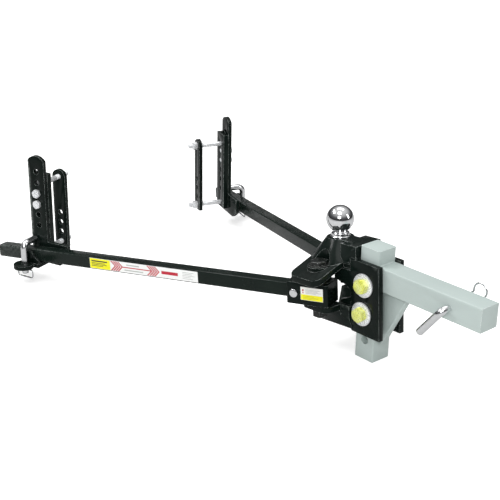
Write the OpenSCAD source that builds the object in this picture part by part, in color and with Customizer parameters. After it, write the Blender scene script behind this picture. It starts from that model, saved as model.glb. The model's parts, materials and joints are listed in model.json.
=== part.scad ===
// Weight distribution hitch with sway brackets, in millimetres.
// +X points along the shank towards the tow vehicle, +Y to the left, +Z up.
// The origin is the centre of the receiver pin hole in the shank bar.

/* [Shank] */
// side of the square shank bar and column
bar_w = 50.8; // [50.8:0.1:63.5]
// bar length forward of the column axis
bar_reach = 282; // [220:1:340]
// column height
column_h = 249.4; // [220:0.1:330]
// height of the bar's underside above the foot of the column
bar_z = 166; // [120:1:220]
// receiver pin hole, forward of the column axis
pin_x = 205; // [150:1:240]
// lowest cross hole above the foot of the column
hole_z0 = 44.5; // [30:0.5:60]
// pitch of the cross holes
hole_pitch = 31.75; // [25:0.25:40]
// gusset reach along the underside of the bar
gusset_x = 90; // [60:1:130]
// height of the gusset's lower tip
gusset_z = 40; // [20:1:120]

/* [Head] */
// backward tilt of the head on the column, degrees
tilt = 5.5; // [0:0.5:10]
// thickness of the head plates
plate_t = 12.7; // [9:0.1:16]
// rear edge of the side plates, head frame
side_x0 = -34; // [-45:1:-30]
// front edge of the side plates, head frame
side_x1 = 45; // [40:1:60]
// height of the side plates
side_h = 159; // [140:1:180]
// ball axis behind the head frame's origin
ball_x = -97.5; // [-110:0.5:-85]
// top of the ball platform
platform_z = 106; // [95:1:120]
// ball diameter
ball_d = 58.74; // [50.8:0.01:58.74]
// centre of the ball above the platform
ball_rise = 38; // [35:1:50]
// downward slope of the top wings, degrees
wing_slope = 19; // [0:1:30]
// front to back length of the top wings
wing_w = 84; // [60:1:90]
// half of the head's full width
wing_y = 114; // [95:1:125]

/* [Sockets and arms] */
// socket pivots, sideways from the centre line
socket_y = 66; // [60:0.5:80]
// rest angle of the right arm from the centre line, degrees
right_angle = 20.7; // [0:0.1:40]
// rest angle of the left arm from the centre line, degrees
left_angle = 18.3; // [0:0.1:40]
// arm length from the socket pivot
arm_l = 864; // [700:1:900]
// arm section at the socket
arm_w0 = 31.4; // [25:0.1:35]
// arm section at the tip
arm_w1 = 30; // [20:0.1:35]
// socket outside width
socket_w = 57; // [50:1:64]
// socket outside height
socket_h = 48; // [44:1:52]

/* [Sway brackets] */
// bracket centre along the arm from the socket pivot
bracket_t = 759; // [600:1:800]
// width of the L plate
l_w = 47; // [36:1:60]
// top of the L plate above the arm axis
l_top = 241; // [180:1:260]
// pitch of the height holes
l_pitch = 27; // [25:0.1:32]
// clear gap left for the trailer rail
rail_gap = 59.5; // [50:0.5:80]
// width of the link plate
link_w = 38; // [32:1:50]

/* [Hidden] */

black = [0.05, 0.06, 0.055];
grey = [0.72, 0.77, 0.75];
chrome = [0.85, 0.86, 0.87];
zinc = [0.75, 0.77, 0.78];
gold = [0.85, 0.78, 0.35];
fine = 48;          // facets of a small round
gap = 0.3;          // air between pieces that can move
run = 0.06;         // radial running clearance

half = bar_w / 2;
bar_mid = bar_z + half;
side_y = half + gap;                 // inner face of a side plate
upper_bolt_z = hole_z0 + 4 * hole_pitch;
bolt_span = 2 * hole_pitch;
pivot = [3.3, 28.8];                 // upper head bolt in the head frame, x and z
bolt_r = 9.5;                        // 3/4 in head bolts
bolt_af = 28.6;
washer_r = 25.4;
washer_t = 4;

// ---- frames ----
module origin() translate([-pin_x, 0, -bar_mid]) children();
module head() origin() translate([0, 0, upper_bolt_z]) rotate([0, -tilt, 0])
  translate([-pivot[0], 0, -pivot[1]]) children();
module hand(left) mirror([0, left ? 1 : 0, 0]) children();
function angle(left) = left ? left_angle : right_angle;
module at_socket(left) head() hand(left)
  translate([ball_x, -socket_y, 0]) rotate([0, 0, 180 + angle(left)]) children();

// the point of the arm axis where the bracket sits, from the foot of the column
function bracket_x(left) = ball_x - bracket_t * cos(angle(left)) - pivot[0];
function bracket_at(left) = [bracket_x(left) * cos(tilt) + pivot[1] * sin(tilt),
  -socket_y - bracket_t * sin(angle(left)),
  upper_bolt_z + bracket_x(left) * sin(tilt) - pivot[1] * cos(tilt)];
// the arm's heading seen from above
function heading(left) = atan2(sin(angle(left)), cos(angle(left)) * cos(tilt));
module at_bracket(left) hand(left) origin() translate(bracket_at(left))
  rotate([0, 0, 180 + heading(left)]) children();

// ---- helpers ----
module hex(af, h) cylinder(d = af / cos(30), h = h, $fn = 6);
// everything along Y, centred on x and z, starting at y
module along_y(y) translate([0, y, 0]) rotate([-90, 0, 0]) children();
module rod_y(r, y0, y1, n = fine) along_y(y0) cylinder(r = r, h = y1 - y0, $fn = n);
module block(x0, x1, y0, y1, z0, z1)
  translate([x0, y0, z0]) cube([x1 - x0, y1 - y0, z1 - z0]);
// square bar with softened long edges, along X
module soft_bar(x0, x1, w, r)
  translate([x0, 0, 0]) rotate([90, 0, 90]) linear_extrude(x1 - x0) rounded(w, w, r);
module rounded(w, h, r) {
  square([w - 2 * r, h], center = true);
  square([w, h - 2 * r], center = true);
  for (sx = [-1, 1], sy = [-1, 1])
    translate([sx * (w / 2 - r), sy * (h / 2 - r)]) circle(r = r, $fn = 24);
}
// a round rod bent in an arc about the origin, from angle 0 to a, in the XY plane
module bend(r, R, a) rotate_extrude(angle = a, $fn = 96) translate([R, 0]) circle(r = r, $fn = 24);

// ---- shank ----
pin_r = 7.9;                 // 5/8 in receiver pin
module shank_bar() color(grey) origin() translate([0, 0, bar_mid]) difference() {
  soft_bar(half, bar_reach, bar_w, 3);
  translate([pin_x, 0, 0]) rod_y(pin_r + run, -half - 1, half + 1);
}

module shank_column() color(grey) origin() difference() {
  rotate([0, -90, 0]) soft_bar(0, column_h, bar_w, 3);
  for (k = [0:4]) translate([0, 0, hole_z0 + k * hole_pitch]) rod_y(bolt_r + run, -half - 1, half + 1);
}

gusset_t = 19;
module shank_gusset() color(grey) origin() translate([0, gusset_t / 2, 0]) rotate([90, 0, 0])
  linear_extrude(gusset_t) polygon([[half, gusset_z], [half, bar_z], [gusset_x, bar_z],
    [gusset_x, bar_z - 6], [half + 5, gusset_z]]);

// ---- head weldment ----
// the front edge leans a little, and two jaws run back above and below the sockets' inner ends
front_top = 74;
front_low = -85;
mouth_top = 11;
mouth_low = -4.6;
jaw_x = -63;
jaw_reach = 24.8;
jaw_back = -80;
module side_plate(left) color(black) head() hand(left) difference() {
  translate([0, -side_y, 0]) rotate([90, 0, 0]) linear_extrude(plate_t) difference() {
    union() {
      polygon([[side_x0, 0.5 + side_h / 2], [side_x1, front_top], [side_x1 - 1.5, front_low],
        [side_x0, 0.5 - side_h / 2]]);
      polygon([[side_x0 + 5, mouth_top], [side_x0, mouth_top], [-52, mouth_top + 10], [jaw_x, mouth_top + 8.5],
        [jaw_x, jaw_reach], [jaw_back, jaw_reach], [jaw_back, 60], [side_x0 + 5, 60]]);
      polygon([[side_x0 + 5, mouth_low], [side_x0, mouth_low], [jaw_x, mouth_low - 11],
        [jaw_x, shelf_z + plate_t + 0.1], [side_x0 + 5, shelf_z + plate_t + 0.1]]);
    }
    translate(pivot) circle(r = bolt_r + run, $fn = fine);
  }
  // the upper jaw ends under the sloping wing plate
  translate([jaw_back - 5, 0, 0]) rotate([90, 0, 90]) linear_extrude(side_x0 - jaw_back + 5)
    polygon([[-ridge_y, under_z - 0.1], [-wing_y, under_z - 0.1 - slope * (wing_y - ridge_y)],
      [-wing_y, 90], [0, 90], [0, under_z - 0.1]]);
  lower_bolt() rod_y(bolt_r + run, -side_y - plate_t - 1, -side_y + 1);
}
module side_plate_right() side_plate(false);
module side_plate_left() side_plate(true);
// places children on the two head bolts, which stand on the column's axis
module upper_bolt() translate([pivot[0], 0, pivot[1]]) children();
module lower_bolt() translate([pivot[0], 0, pivot[1]]) rotate([0, tilt, 0])
  translate([0, 0, -bolt_span]) children();

step_z = 80.2;               // top edges of the side plates
ridge_y = 12;                // half width of the level ridge of the wing plate
ridge_z = 75.8;
ball_bore = 16;
ball_shank = 15.9;
block_y = 37.5;
block_x0 = -61;
block_x1 = -18.2;
cone_top = 29;
cone_grow = 0.77;            // widening of the pedestal for each mm down
module ball_platform() color(black) head() difference() {
  union() {
    intersection() {
      translate([ball_x, 0, 60]) cylinder(r1 = cone_top + cone_grow * (platform_z - 60), r2 = cone_top,
        h = platform_z - 60, $fn = 96);
      block(wing_x0, 0, -90, 90, 55, platform_z);
    }
    block(ball_x, block_x0 + 1, -20, 20, 60, platform_z);
    block(block_x0, side_x0 - gap, -block_y, block_y, 60, platform_z);
    block(side_x0 - gap - 1, block_x1, -block_y, block_y, step_z, platform_z);
  }
  translate([ball_x, 0, 0]) cylinder(r = ball_bore, h = platform_z + 1, $fn = fine);
  for (y = [-socket_y, socket_y]) translate([ball_x, y, boss_top]) cylinder(r = spot_r, h = 40, $fn = fine);
  // seat on the ridge and slopes of the wing plate
  translate([-200, 0, 0]) rotate([90, 0, 90]) linear_extrude(200)
    polygon([[-ridge_y, ridge_z], [ridge_y, ridge_z], [wing_y, ridge_z - slope * (wing_y - ridge_y)],
      [wing_y, 0], [-wing_y, 0], [-wing_y, ridge_z - slope * (wing_y - ridge_y)]]);
}

slope = tan(wing_slope);
wing_x0 = ball_x - 44;
wing_x1 = wing_x0 + wing_w;
low_x0 = ball_x - 38;        // rear edge of the lower plate
wing_round = 18;
drop = plate_t / cos(wing_slope);
corner_y = 34;               // half width of the plate in front of the wings
boss_r = 24;
spot_r = boss_r - 1;
boss_top = 57.6;
boss_bot = 34.4;
under_z = ridge_z - drop;    // seat of the ball's washer
socket_bolt_r = 12.6;        // 1 in pivot bolts
socket_bore_r = socket_bolt_r + run;
pivot_end_r = 9.5;           // 3/4 in threaded end
// outline of a wing seen from above, on the right side, with rounded outer corners
module wing_outline(x0, y0, y1, x_in) {
    translate([x0, -y1 + wing_round]) square([wing_x1 - x0, y1 - wing_round - y0]);
    translate([x0 + wing_round, -y1]) square([wing_x1 - x0 - 2 * wing_round, wing_round + 1]);
    for (x = [x0 + wing_round, wing_x1 - wing_round])
      translate([x, -y1 + wing_round]) circle(r = wing_round, $fn = 64);
    translate([x0, -y0 - 0.1]) square([x_in - x0, y0 + 0.1]);
}
module sloped_slab(y1) rotate([90, 0, -90]) translate([0, 0, -wing_x1 - 30])
  linear_extrude(wing_w + 60) polygon([[-1, ridge_z], [ridge_y, ridge_z],
    [y1, ridge_z - slope * (y1 - ridge_y)], [y1, ridge_z - slope * (y1 - ridge_y) - drop],
    [ridge_y, ridge_z - drop], [-1, ridge_z - drop]]);
module top_plate() color(black) head() for (left = [false, true]) hand(left) difference() {
  union() {
    intersection() {
      translate([0, 0, 20]) linear_extrude(60) wing_outline(wing_x0, corner_y, wing_y, side_x0);
      sloped_slab(wing_y + 1);
    }
    translate([ball_x, -socket_y, boss_bot])
      cylinder(r = boss_r, h = boss_top - boss_bot, $fn = fine);
  }
  translate([ball_x, -socket_y, 0]) cylinder(r = socket_bore_r, h = 90, $fn = fine);
  translate([ball_x, -socket_y, boss_top]) cylinder(r = spot_r, h = 30, $fn = fine);
  translate([ball_x, 0, 0]) cylinder(r = ball_bore, h = 90, $fn = fine);
  translate([ball_x, 0, 20]) cylinder(r = 27, h = under_z - 20, $fn = 64);
}

floor_z = -77;
shelf_z = -37;
low_flat_y = 36;
low_step = 12;               // width of the step up to the shelf
low_wing_y = 87;
low_inset = 9.4;             // inner break of the step, inboard of the outer one
notch_x = -46;
notch_y = 13;
module bottom_plate() color(black) head() for (left = [false, true]) hand(left) difference() {
  intersection() {
    translate([0, 0, floor_z - 1]) linear_extrude(60) wing_outline(low_x0, corner_y + 10, low_wing_y, side_x0);
    rotate([90, 0, -90]) translate([0, 0, -wing_x1 - 60]) linear_extrude(wing_w + 90)
      polygon([[-1, floor_z], [low_flat_y, floor_z], [low_flat_y + low_step, shelf_z],
        [low_wing_y + 1, shelf_z], [low_wing_y + 1, shelf_z + plate_t],
        [low_flat_y + low_step - low_inset, shelf_z + plate_t], [low_flat_y - low_inset, floor_z + plate_t],
        [-1, floor_z + plate_t]]);
  }
  translate([ball_x, -socket_y, floor_z - 5]) cylinder(r = pivot_end_r + run, h = 60, $fn = fine);
  block(notch_x, side_x0 + 1, -notch_y, notch_y, floor_z - 1, floor_z + plate_t + 1);
}

// rivet with a stack of washers that sets the tilt against the column
spacer_r = 11;
spacer_end = -33.2;
module tilt_spacer() color(zinc) head() translate([notch_x, 0, floor_z + plate_t / 2])
  rotate([0, 90, 0]) {
    cylinder(r = spacer_r, h = spacer_end - notch_x - 2.5, $fn = fine);
    translate([0, 0, spacer_end - notch_x - 2.5]) cylinder(r = 7, h = 2.5, $fn = fine);
  }

// ---- head bolts ----
plates_out = side_y + plate_t;
bolt_head = 12;
nut_t = 16;
module on_head_bolts() head() { upper_bolt() children(); lower_bolt() children(); }
module head_bolts() color(gold) on_head_bolts() {
  rod_y(bolt_r, -plates_out - washer_t, plates_out + washer_t + nut_t + 6);
  along_y(-plates_out - washer_t - bolt_head) rotate(15) intersection() {
    hex(bolt_af, bolt_head);
    cylinder(r1 = bolt_af / 2 + 0.4, r2 = bolt_af / 2 + bolt_head, h = bolt_head, $fn = fine);
  }
}
module head_bolt_washers() color(zinc) on_head_bolts()
  for (y = [-plates_out - washer_t, plates_out]) difference() {
    rod_y(washer_r, y, y + washer_t, 64);
    rod_y(bolt_r, y - 1, y + washer_t + 1);
  }
module head_bolt_nuts() color(gold) on_head_bolts() difference() {
  along_y(plates_out + washer_t) hex(bolt_af, nut_t);
  rod_y(bolt_r, plates_out, plates_out + washer_t + nut_t + 1);
}

// ---- ball ----
ball_r = ball_d / 2;
ball_z = platform_z + ball_rise;
neck_r = 15.6;
collar_r = 19.5;
collar_h = 10;
shank_end = 31.8;
lock_t = 6;
ball_nut_t = 22;
ball_nut_af = 47.6;
module hitch_ball() color(chrome) head() translate([ball_x, 0, 0]) {
  translate([0, 0, ball_z]) sphere(r = ball_r, $fn = 96);
  rotate_extrude($fn = 96) polygon([[0, shank_end], [ball_shank - 2, shank_end],
    [ball_shank, shank_end + 2], [ball_shank, platform_z], [collar_r + 2, platform_z],
    [collar_r + 2, platform_z + 1.5], [collar_r, platform_z + 3],
    [collar_r, platform_z + collar_h - 2], [collar_r - 1.6, platform_z + collar_h],
    [neck_r + 0.6, platform_z + collar_h + 1], [neck_r, platform_z + collar_h + 3],
    [neck_r, ball_z - 23], [0, ball_z - 23]]);
}
module ball_lock_washer() color(zinc) head() translate([ball_x, 0, under_z - lock_t]) difference() {
  cylinder(r = 25.5, h = lock_t, $fn = 64);
  translate([0, 0, -1]) cylinder(r = ball_shank + 0.3, h = lock_t + 2, $fn = fine);
  rotate(35) translate([10, -1.2, -1]) cube([20, 2.4, lock_t + 2]);
}
module ball_nut() color(zinc) head() translate([ball_x, 0, under_z - lock_t - ball_nut_t]) difference() {
  intersection() {
    hex(ball_nut_af, ball_nut_t);
    cylinder(r1 = ball_nut_af / 2 + 0.5, r2 = ball_nut_af / 2 + 22.5, h = ball_nut_t, $fn = 64);
  }
  translate([0, 0, -1]) cylinder(r = ball_shank, h = ball_nut_t + 2, $fn = fine);
}

// ---- socket pivots ----
cap_af = 32;
cap_h = 8;
pivot_nut_h = 14;
pivot_washer_t = 3;
pivot_washer_r = 17;
shoulder_z = shelf_z + plate_t + gap;
module on_sockets() for (left = [false, true]) at_socket(left) children();
module socket_bolts() color(black) on_sockets() {
  translate([0, 0, shelf_z - pivot_washer_t - pivot_nut_h - 4])
    cylinder(r = pivot_end_r, h = shoulder_z - shelf_z + pivot_washer_t + pivot_nut_h + 4, $fn = fine);
  translate([0, 0, shoulder_z - 0.01])
    cylinder(r = socket_bolt_r, h = boss_top + pivot_washer_t - shoulder_z + 0.01, $fn = fine);
  translate([0, 0, boss_top + pivot_washer_t]) intersection() {
    hex(cap_af, cap_h);
    cylinder(r1 = cap_af / 2 + cap_h, r2 = cap_af / 2 + 0.5, h = cap_h, $fn = fine);
  }
}
module socket_bolt_washers() color(black) on_sockets()
  for (q = [[boss_top, 22, socket_bolt_r], [shelf_z - pivot_washer_t, pivot_washer_r, pivot_end_r]])
    translate([0, 0, q[0]]) difference() {
      cylinder(r = q[1], h = pivot_washer_t, $fn = fine);
      translate([0, 0, -1]) cylinder(r = q[2], h = pivot_washer_t + 2, $fn = fine);
    }
module socket_bolt_nuts() color(black) on_sockets()
  translate([0, 0, shelf_z - pivot_washer_t - pivot_nut_h]) difference() {
    hex(bolt_af, pivot_nut_h);
    translate([0, 0, -1]) cylinder(r = pivot_end_r, h = pivot_nut_h + 2, $fn = fine);
  }

// ---- receiver pin and its clip ----
pin_out = half + 1.5;         // centre line of the bent leg outside the bar
pin_bend = 16;
pin_drop = 52;               // angle of the bent leg below the horizontal, degrees
pin_leg = 66;
clip_y = half + 12;
clip_wire = 2;
clip_lean = 50;              // clip's lean forward from upright, degrees
pin_end = half + 19;
module hitch_pin() color(chrome) rotate([0, -pin_drop, 0]) difference() {
  union() {
    rod_y(pin_r, -pin_out, pin_end);
    translate([-pin_bend, -pin_out, 0]) rotate([0, 0, -90]) bend(pin_r, pin_bend, 90);
    translate([-pin_bend, -pin_out - pin_bend, 0]) rotate([0, -90, 0])
      cylinder(r = pin_r, h = pin_leg, $fn = fine);
  }
  translate([0, clip_y, 0]) rotate([0, clip_lean + pin_drop, 0]) translate([0, 0, -20])
    cylinder(r = clip_wire + run, h = 40, $fn = 24);
}
// spring clip: one leg through the pin, a round loop above, and a second leg beside the pin
loop_r = 15;
hug_r = pin_r + clip_wire + 0.4;
module pin_clip(leg, hug, loop, w, rise = 0) {
  foot = sqrt(loop * loop - hug * hug / 4);
  neck = hug + w + rise;
  half_open = acos(hug / 2 / loop);
  for (q = [[0, -leg], [-hug, -leg / 2]])
    translate([q[0], 0, q[1]]) cylinder(r = w, h = neck + w - q[1], $fn = 24);
  translate([-hug / 2, 0, neck + foot]) rotate([90, half_open, 0]) bend(w, loop, 180 + 2 * half_open);
}
module hitch_pin_clip() color(chrome) translate([0, clip_y, 0]) rotate([0, clip_lean, 0])
  pin_clip(18, hug_r, loop_r, clip_wire, 10);

// ---- sockets and arms ----
lug_x = -31;
mouth_x = 64;
pocket_x = 21;
pocket_w = arm_w0 + 0.5;
hub_r = 26;
arm_pin_x = 46;
arm_pin_r = 6.3;
module socket(left) color(black) at_socket(left) difference() {
  union() {
    translate([0, 0, -socket_h / 2]) linear_extrude(socket_h) {
      translate([(lug_x + mouth_x) / 2, 0]) rounded(mouth_x - lug_x, socket_w, 4);
    }
    cylinder(r = hub_r, h = boss_bot - gap, $fn = 64);
  }
  translate([0, 0, -60]) cylinder(r = socket_bore_r, h = 120, $fn = fine);
  block(pocket_x, mouth_x + 1, -pocket_w / 2, pocket_w / 2, -pocket_w / 2, pocket_w / 2);
  translate([arm_pin_x, 0, 0]) rod_y(arm_pin_r + run, -40, 40);
}
module right_socket() socket(false);
module left_socket() socket(true);

label_t = 0.4;
module socket_label(left) color([0.95, 0.9, 0.2]) at_socket(left)
  block(-21, 30, socket_w / 2, socket_w / 2 + label_t, -12.5, 16);
module right_socket_label() socket_label(false);
module left_socket_label() socket_label(true);

arm_clip_y = -socket_w / 2 - 6;
arm_clip_wire = 1.5;
module arm_pin(left) color(chrome) at_socket(left) translate([arm_pin_x, 0, 0]) difference() {
  union() {
    rod_y(arm_pin_r, -socket_w / 2 - 12, socket_w / 2 + gap + 1);
    rod_y(9.2, socket_w / 2 + gap, socket_w / 2 + gap + 4);
  }
  translate([0, arm_clip_y, -20]) cylinder(r = arm_clip_wire + run, h = 40, $fn = 24);
}
module right_arm_pin() arm_pin(false);
module left_arm_pin() arm_pin(true);
module arm_pin_clip(left) color(zinc) at_socket(left) translate([arm_pin_x, arm_clip_y, 0])
  pin_clip(13, arm_pin_r + arm_clip_wire + 0.4, 8, arm_clip_wire);
module right_arm_pin_clip() arm_pin_clip(false);
module left_arm_pin_clip() arm_pin_clip(true);

arm_x0 = 24;
taper_x = 70;
arm_soft = 3;
module arm_slice(x, w) translate([x, 0, 0]) rotate([90, 0, 90]) linear_extrude(1) rounded(w, w, arm_soft);
module arm(left) color(black) at_socket(left) difference() {
  union() {
    soft_bar(arm_x0, taper_x, arm_w0, arm_soft);
    hull() { arm_slice(taper_x, arm_w0); arm_slice(arm_l - 4, arm_w1); }
    hull() { arm_slice(arm_l - 4, arm_w1); arm_slice(arm_l - 1, arm_w1 - 3); }
  }
  translate([arm_pin_x, 0, 0]) rod_y(arm_pin_r + run, -40, 40);
}
module right_arm() arm(false);
module left_arm() arm(true);

tag_x0 = 289;
tag_x1 = 585;
tag_h = 25;
taper = (arm_w0 - arm_w1) / 2 / (arm_l - taper_x);
module arm_label(left) color([0.95, 0.95, 0.92]) at_socket(left)
  translate([tag_x0, arm_w0 / 2 - taper * (tag_x0 - taper_x) + 0.02, 0]) rotate(-atan(taper))
    block(0, tag_x1 - tag_x0, 0, label_t, -tag_h / 2, tag_h / 2);
module right_arm_label() arm_label(false);
module left_arm_label() arm_label(true);

// ---- sway brackets ----
arm_y = 17;                  // face of the L plate beside the arm
l_t = 9.5;
rest_z = -17.8;              // top of the shelf
rest_t = 10;
top_arc = 29;
hole_r = 7;
small_bolt = 6.3;
small_af = 19;
row_z = 66.8;                // lowest hole of the L plate
fix_z = [row_z + 3 * l_pitch, row_z + 2 * l_pitch];        // bolts from the L plate to the jacket
rail_z = [168, -1];          // bolts above and below the rail
pad_x = 11;
pad_y = 36;
pad_r = 24;
lpin_y = 31;
lpin_r = 8;
module upright(y0, y1) translate([0, y1, 0]) rotate([90, 0, 0]) linear_extrude(y1 - y0) children();
base_z = rest_z - rest_t;
module sway_bracket(left) color(black) at_bracket(left)
  upright(-arm_y - l_t, -arm_y) difference() {
    intersection() {
      polygon([[l_w / 2, base_z], [l_w / 2, l_top + 5], [-l_w / 2, l_top + 5], [-l_w / 2, 27],
        [-84, 27], [-84, -10], [-58, base_z]]);
      union() {
        translate([0, l_top - top_arc]) circle(r = top_arc, $fn = 96);
        translate([-100, base_z - 1]) square([200, l_top - top_arc - base_z + 12]);
      }
    }
    for (k = [0:5]) translate([0, row_z + k * l_pitch]) circle(r = hole_r, $fn = 32);
  }
module right_sway_bracket() sway_bracket(false);
module left_sway_bracket() sway_bracket(true);

module shelf(left) color(black) at_bracket(left) difference() {
  translate([0, 0, base_z]) linear_extrude(rest_t) {
    translate([-l_w / 2, -arm_y]) square([l_w, 24 + arm_y]);
    translate([pad_x, pad_y]) circle(r = pad_r, $fn = 96);
  }
  translate([pad_x, lpin_y, -60]) cylinder(r = lpin_r + run, h = 60, $fn = fine);
}
module right_shelf() shelf(false);
module left_shelf() shelf(true);

// the lip that keeps the arm on the shelf
module shelf_lip(left) color(black) at_bracket(left)
  upright(arm_y, lpin_y - lpin_r - 0.4) polygon([[18, rest_z], [18, 12.5], [-5, 12.5], [-9, 1],
    [-26, -9], [-26, rest_z]]);
module right_shelf_lip() shelf_lip(false);
module left_shelf_lip() shelf_lip(true);

jacket_w = 50.8;
web_t = 5;
flange_t = 5;
web_y = arm_y + l_t + 14;    // rail side of the jacket
spare_z = [row_z - l_pitch, row_z, row_z + l_pitch]; // free height holes in the web
jacket_z0 = -14;
jacket_z1 = 197;
module jacket(left) color(black) at_bracket(left) difference() {
  block(-jacket_w / 2, jacket_w / 2, -web_y, -arm_y - l_t, jacket_z0, jacket_z1);
  block(-jacket_w / 2 + flange_t, jacket_w / 2 - flange_t, -web_y + web_t, 0, jacket_z0 - 1, jacket_z1 + 1);
  for (z = concat(rail_z, fix_z, spare_z)) translate([0, 0, z])
    rod_y(small_bolt + 0.4, -web_y - 1, -web_y + web_t + 1, 32);
}
module right_jacket() jacket(false);
module left_jacket() jacket(true);

link_y = web_y + rail_gap;
link_t = 9.5;
link_z0 = -14;
link_z1 = 186;
module link_plate(left) color(black) at_bracket(left) upright(-link_y - link_t, -link_y) difference() {
  union() {
    translate([0, link_z1 - link_w / 2]) circle(r = link_w / 2, $fn = 64);
    translate([-link_w / 2, link_z0]) square([link_w, link_z1 - link_z0 - link_w / 2]);
  }
  for (z = rail_z) translate([0, z]) circle(r = small_bolt + 0.4, $fn = 32);
  for (k = [1:3]) translate([0, rail_z[1] + k * 25.4]) circle(r = small_bolt + 0.4, $fn = 32);
}
module right_link_plate() link_plate(false);
module left_link_plate() link_plate(true);

head_t = 8;
module bracket_bolts(left) color(zinc) at_bracket(left) for (z = fix_z) translate([0, 0, z]) {
  rod_y(small_bolt, -web_y + 0.3, -arm_y + 1, 32);
  along_y(-arm_y) hex(small_af, head_t);
}
module right_bracket_bolts() bracket_bolts(false);
module left_bracket_bolts() bracket_bolts(true);
module nut_ring(y, t) difference() {
  along_y(y) hex(small_af, t);
  rod_y(small_bolt, y - 1, y + t + 1, 32);
}
module bracket_nuts(left) color(zinc) at_bracket(left) for (z = fix_z)
  translate([0, 0, z]) nut_ring(-web_y + web_t, head_t);
module right_bracket_nuts() bracket_nuts(false);
module left_bracket_nuts() bracket_nuts(true);

frame_end = link_y + link_t + 24;
module frame_bolts(left) color(zinc) at_bracket(left) for (z = rail_z) translate([0, 0, z]) {
  rod_y(small_bolt, -frame_end, -web_y + web_t + 1, 32);
  along_y(-web_y + web_t) hex(small_af, head_t);
}
module right_frame_bolts() frame_bolts(false);
module left_frame_bolts() frame_bolts(true);
module frame_nuts(left) color(zinc) at_bracket(left) for (z = rail_z)
  translate([0, 0, z]) nut_ring(-link_y - link_t - 11, 11);
module right_frame_nuts() frame_nuts(false);
module left_frame_nuts() frame_nuts(true);

// ---- L pins and their bails ----
lpin_z = 32;
lpin_bend = 14;
lpin_tip = -44;
lpin_end = -15;
bail_r = 2;
bail_z = -33;
bail_w = 22;
bail_drop = 20;
module l_pin(left) color(chrome) at_bracket(left) translate([pad_x, lpin_y, 0]) difference() {
  union() {
    translate([0, 0, lpin_tip + 2]) cylinder(r = lpin_r, h = lpin_z - lpin_bend - lpin_tip - 2, $fn = fine);
    translate([0, 0, lpin_tip]) cylinder(r1 = lpin_r - 2, r2 = lpin_r, h = 2, $fn = fine);
    translate([0, -lpin_bend, lpin_z - lpin_bend]) rotate([90, 0, 90]) bend(lpin_r, lpin_bend, 90);
    translate([0, 0, lpin_z]) rod_y(lpin_r, lpin_end - lpin_y, -lpin_bend);
  }
  translate([-20, 0, bail_z]) rotate([0, 90, 0]) cylinder(r = bail_r + run, h = 40, $fn = 24);
}
module right_l_pin() l_pin(false);
module left_l_pin() l_pin(true);

bail_bend = 6;
module l_pin_clip(left) color(chrome) at_bracket(left) translate([pad_x, lpin_y, bail_z]) {
  for (z = [0, -bail_drop]) translate([-bail_w + bail_bend, 0, z]) rotate([0, 90, 0])
    cylinder(r = bail_r, h = 2 * (bail_w - bail_bend), $fn = 24);
  for (x = [-bail_w, bail_w]) translate([x, 0, -bail_drop + bail_bend])
    cylinder(r = bail_r, h = bail_drop - 2 * bail_bend, $fn = 24);
  for (q = [[1, -bail_bend, 0], [-1, -bail_bend, 90], [-1, bail_bend - bail_drop, 180],
      [1, bail_bend - bail_drop, 270]])
    translate([q[0] * (bail_w - bail_bend), 0, q[1]]) rotate([90, -q[2], 0]) bend(bail_r, bail_bend, 90);
}
module right_l_pin_clip() l_pin_clip(false);
module left_l_pin_clip() l_pin_clip(true);

shank_bar();
shank_column();
shank_gusset();
side_plate_right();
side_plate_left();
ball_platform();
top_plate();
bottom_plate();
tilt_spacer();
head_bolts();
head_bolt_washers();
head_bolt_nuts();
hitch_ball();
ball_lock_washer();
ball_nut();
socket_bolts();
socket_bolt_washers();
socket_bolt_nuts();
hitch_pin();
hitch_pin_clip();
right_socket();
right_socket_label();
right_arm_pin();
right_arm_pin_clip();
right_arm();
right_arm_label();
right_sway_bracket();
right_shelf();
right_shelf_lip();
right_jacket();
right_link_plate();
right_bracket_bolts();
right_bracket_nuts();
right_frame_bolts();
right_frame_nuts();
right_l_pin();
right_l_pin_clip();
left_socket();
left_socket_label();
left_arm_pin();
left_arm_pin_clip();
left_arm();
left_arm_label();
left_sway_bracket();
left_shelf();
left_shelf_lip();
left_jacket();
left_link_plate();
left_bracket_bolts();
left_bracket_nuts();
left_frame_bolts();
left_frame_nuts();
left_l_pin();
left_l_pin_clip();
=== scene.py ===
import json
import math
import random
import bmesh
import bpy
from mathutils import Matrix, Vector


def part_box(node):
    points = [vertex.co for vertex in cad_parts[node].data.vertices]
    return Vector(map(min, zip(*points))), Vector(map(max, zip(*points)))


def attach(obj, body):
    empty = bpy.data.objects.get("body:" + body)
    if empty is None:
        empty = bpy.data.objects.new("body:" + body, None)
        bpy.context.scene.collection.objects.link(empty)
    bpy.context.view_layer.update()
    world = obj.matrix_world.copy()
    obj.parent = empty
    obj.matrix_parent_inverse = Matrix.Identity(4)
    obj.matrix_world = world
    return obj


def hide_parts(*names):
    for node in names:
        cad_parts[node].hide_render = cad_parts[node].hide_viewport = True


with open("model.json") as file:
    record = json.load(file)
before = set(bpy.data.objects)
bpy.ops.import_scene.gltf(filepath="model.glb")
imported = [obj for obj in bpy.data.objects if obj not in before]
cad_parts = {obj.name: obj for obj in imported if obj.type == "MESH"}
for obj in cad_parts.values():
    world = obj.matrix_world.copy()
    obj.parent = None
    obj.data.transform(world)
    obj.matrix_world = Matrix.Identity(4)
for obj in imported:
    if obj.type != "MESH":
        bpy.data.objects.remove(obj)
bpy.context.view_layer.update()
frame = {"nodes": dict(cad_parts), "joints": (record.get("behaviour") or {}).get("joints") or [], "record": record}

MM = 0.001
rng = random.Random(7)
NODES = frame["nodes"]
JOINTS = {j["name"]: j for j in frame["joints"]}
SIDES = ("right", "left")

# ---------------------------------------------------------------- frames, with local units in mm


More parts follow.
